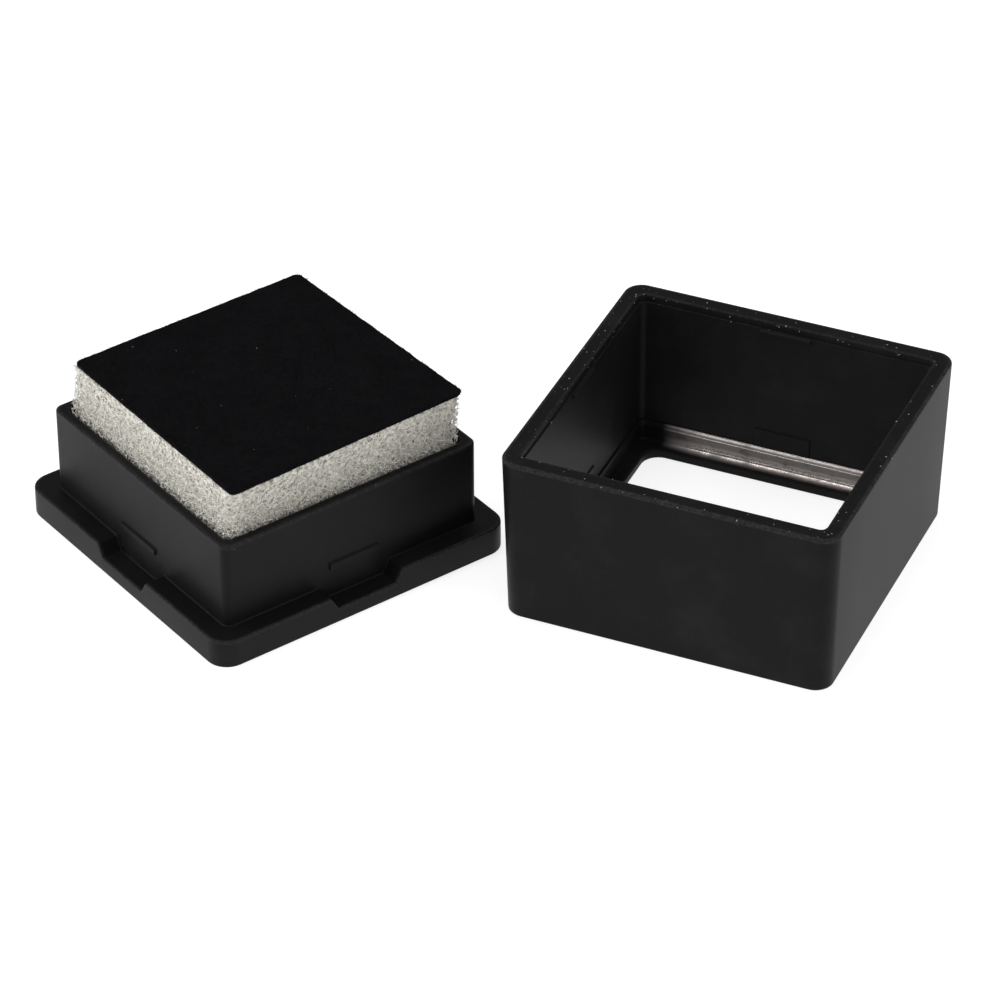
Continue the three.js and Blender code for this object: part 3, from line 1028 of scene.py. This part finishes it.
# %% A node tree that scatters small shapes over a surface
def scatter_tree():
    """Geometry Nodes: copies of a shape on a surface, as dense as one of its marks says."""
    tree = bpy.data.node_groups.new("scatter", "GeometryNodeTree")
    face = tree.interface
    face.new_socket("Geometry", in_out="INPUT", socket_type="NodeSocketGeometry")
    face.new_socket("Shape", in_out="INPUT", socket_type="NodeSocketObject")
    face.new_socket("Mark", in_out="INPUT", socket_type="NodeSocketString")
    for name in ("Density", "Smallest", "Largest", "Lean"):
        face.new_socket(name, in_out="INPUT", socket_type="NodeSocketFloat")
    face.new_socket("Seed", in_out="INPUT", socket_type="NodeSocketInt")
    face.new_socket("Material", in_out="INPUT", socket_type="NodeSocketMaterial")
    face.new_socket("Geometry", in_out="OUTPUT", socket_type="NodeSocketGeometry")
    given = add(tree, "NodeGroupInput").outputs
    mark = add(tree, "GeometryNodeInputNamedAttribute", {"Name": given["Mark"]},
               data_type="FLOAT")
    density = product(tree, mark.outputs["Attribute"], given["Density"])
    spots = add(tree, "GeometryNodeDistributePointsOnFaces",
                {"Mesh": given["Geometry"], "Density": density,
                 "Seed": given["Seed"]})
    back = product(tree, given["Lean"], -1.0)
    least = add(tree, "ShaderNodeCombineXYZ", {"X": back, "Y": back})
    most = add(tree, "ShaderNodeCombineXYZ",
               {"X": given["Lean"], "Y": given["Lean"], "Z": 2 * math.pi})
    tilt = add(tree, "FunctionNodeRandomValue",
               {"Min": least.outputs["Vector"], "Max": most.outputs["Vector"],
                "Seed": given["Seed"]}, data_type="FLOAT_VECTOR")
    turned = add(tree, "FunctionNodeRotateRotation",
                 {"Rotation": spots.outputs["Rotation"], "Rotate By": tilt.outputs["Value"]},
                 rotation_space="LOCAL")
    size = add(tree, "FunctionNodeRandomValue", data_type="FLOAT")
    size_range = [s for s in size.inputs if s.name in ("Min", "Max") and s.type == "VALUE"]
    tree.links.new(given["Smallest"], size_range[0])
    tree.links.new(given["Largest"], size_range[1])
    size_out = next(s for s in size.outputs if s.type == "VALUE")
    shape = add(tree, "GeometryNodeObjectInfo", {"Object": given["Shape"]})
    copies = add(tree, "GeometryNodeInstanceOnPoints",
                 {"Points": spots.outputs["Points"], "Instance": shape.outputs["Geometry"],
                  "Rotation": turned.outputs["Rotation"], "Scale": size_out})
    real = add(tree, "GeometryNodeRealizeInstances", {"Geometry": copies.outputs["Instances"]})
    coloured = add(tree, "GeometryNodeSetMaterial",
                   {"Geometry": real.outputs["Geometry"], "Material": given["Material"]})
    add(tree, "NodeGroupOutput", {"Geometry": coloured.outputs["Geometry"]})
    return tree


scatter = scatter_tree()


def shape_object(name, points, faces):
    """A small closed shape to scatter, one unit in size."""
    mesh = bpy.data.meshes.new(name)
    mesh.from_pydata(points, [], faces)
    shape = bpy.data.objects.new(name, mesh)
    bpy.context.scene.collection.objects.link(shape)
    return shape

# %% Pile of the cloth
HAIR_LENGTH = (0.25, 0.6)
HAIR_THICKNESS = 0.08  # this and the next two are shares of its length
HAIR_ROOT = 0.3
HAIR_BEND = 0.15
HAIR_LEAN = 1.2
HAIRS_PER_MM2 = 9.0
hair_foot = [(math.cos(a) * HAIR_THICKNESS, math.sin(a) * HAIR_THICKNESS, -HAIR_ROOT)
             for a in np.linspace(0, 2 * math.pi, 4)[:-1]]
hair_faces = [(2, 1, 0), (0, 1, 3), (1, 2, 3), (2, 0, 3)]
hair = shape_object("hair", [*hair_foot, (HAIR_BEND, 0, 1)], hair_faces)
ink_pile = grown(
    "ink_cloth_pile", ink_cloth.data.copy(), scatter, Shape=hair, Mark="dust",
    Density=HAIRS_PER_MM2 / MM ** 2, Smallest=HAIR_LENGTH[0] * MM, Largest=HAIR_LENGTH[1] * MM,
    Lean=HAIR_LEAN, Seed=5, Material=ink_felt)
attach(ink_pile, "pad_face")

# %% [markdown]
# ## Dust and lint
# A used pad is never clean. Paper dust settles on the rims, where static holds it, and a few
# pale lint specks lie on the black cloth. Each is a tiny irregular grain, scattered by the
# same node tree over the loops marked for dust.

# %% Grains of dust
DUST_ROUGHNESS = 0.9
DUST_LEAN = 0.5
dust_material, tree, shader = new_material("paper_dust")
shader.inputs["Base Color"].default_value = linear("#9a9890")
shader.inputs["Roughness"].default_value = DUST_ROUGHNESS

grain_ring = [(1, 0, 0), (0, 0.7, 0), (-0.8, 0.1, 0), (0, -0.6, 0)]
grain_points = [*grain_ring, (0.1, 0, 0.45), (0, 0, -0.3)]
grain_faces = [(k, (k + 1) % 4, 4) for k in range(4)] + [((k + 1) % 4, k, 5) for k in range(4)]
dust_grain = shape_object("dust_grain", grain_points, grain_faces)


def dusty(name, piece, body, per_mm2, smallest, largest, seed):
    """Grains on the dusty parts of a piece, their sizes in mm."""
    dust = grown(
        name, piece.data.copy(), scatter, Shape=dust_grain, Mark="dust",
        Density=per_mm2 / MM ** 2, Smallest=smallest * MM, Largest=largest * MM,
        Lean=DUST_LEAN, Seed=seed, Material=dust_material)
    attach(dust, body)


dusty("cover_dust", cover_shell, "cover", per_mm2=0.35, smallest=0.03, largest=0.17, seed=3)
dusty("tray_dust", tray_shell, "tray", per_mm2=0.12, smallest=0.03, largest=0.1, seed=4)
dusty("cloth_lint", ink_cloth, "pad_face", per_mm2=0.02, smallest=0.04, largest=0.13, seed=8)
for tool in (hair, dust_grain):
    bpy.data.objects.remove(tool)
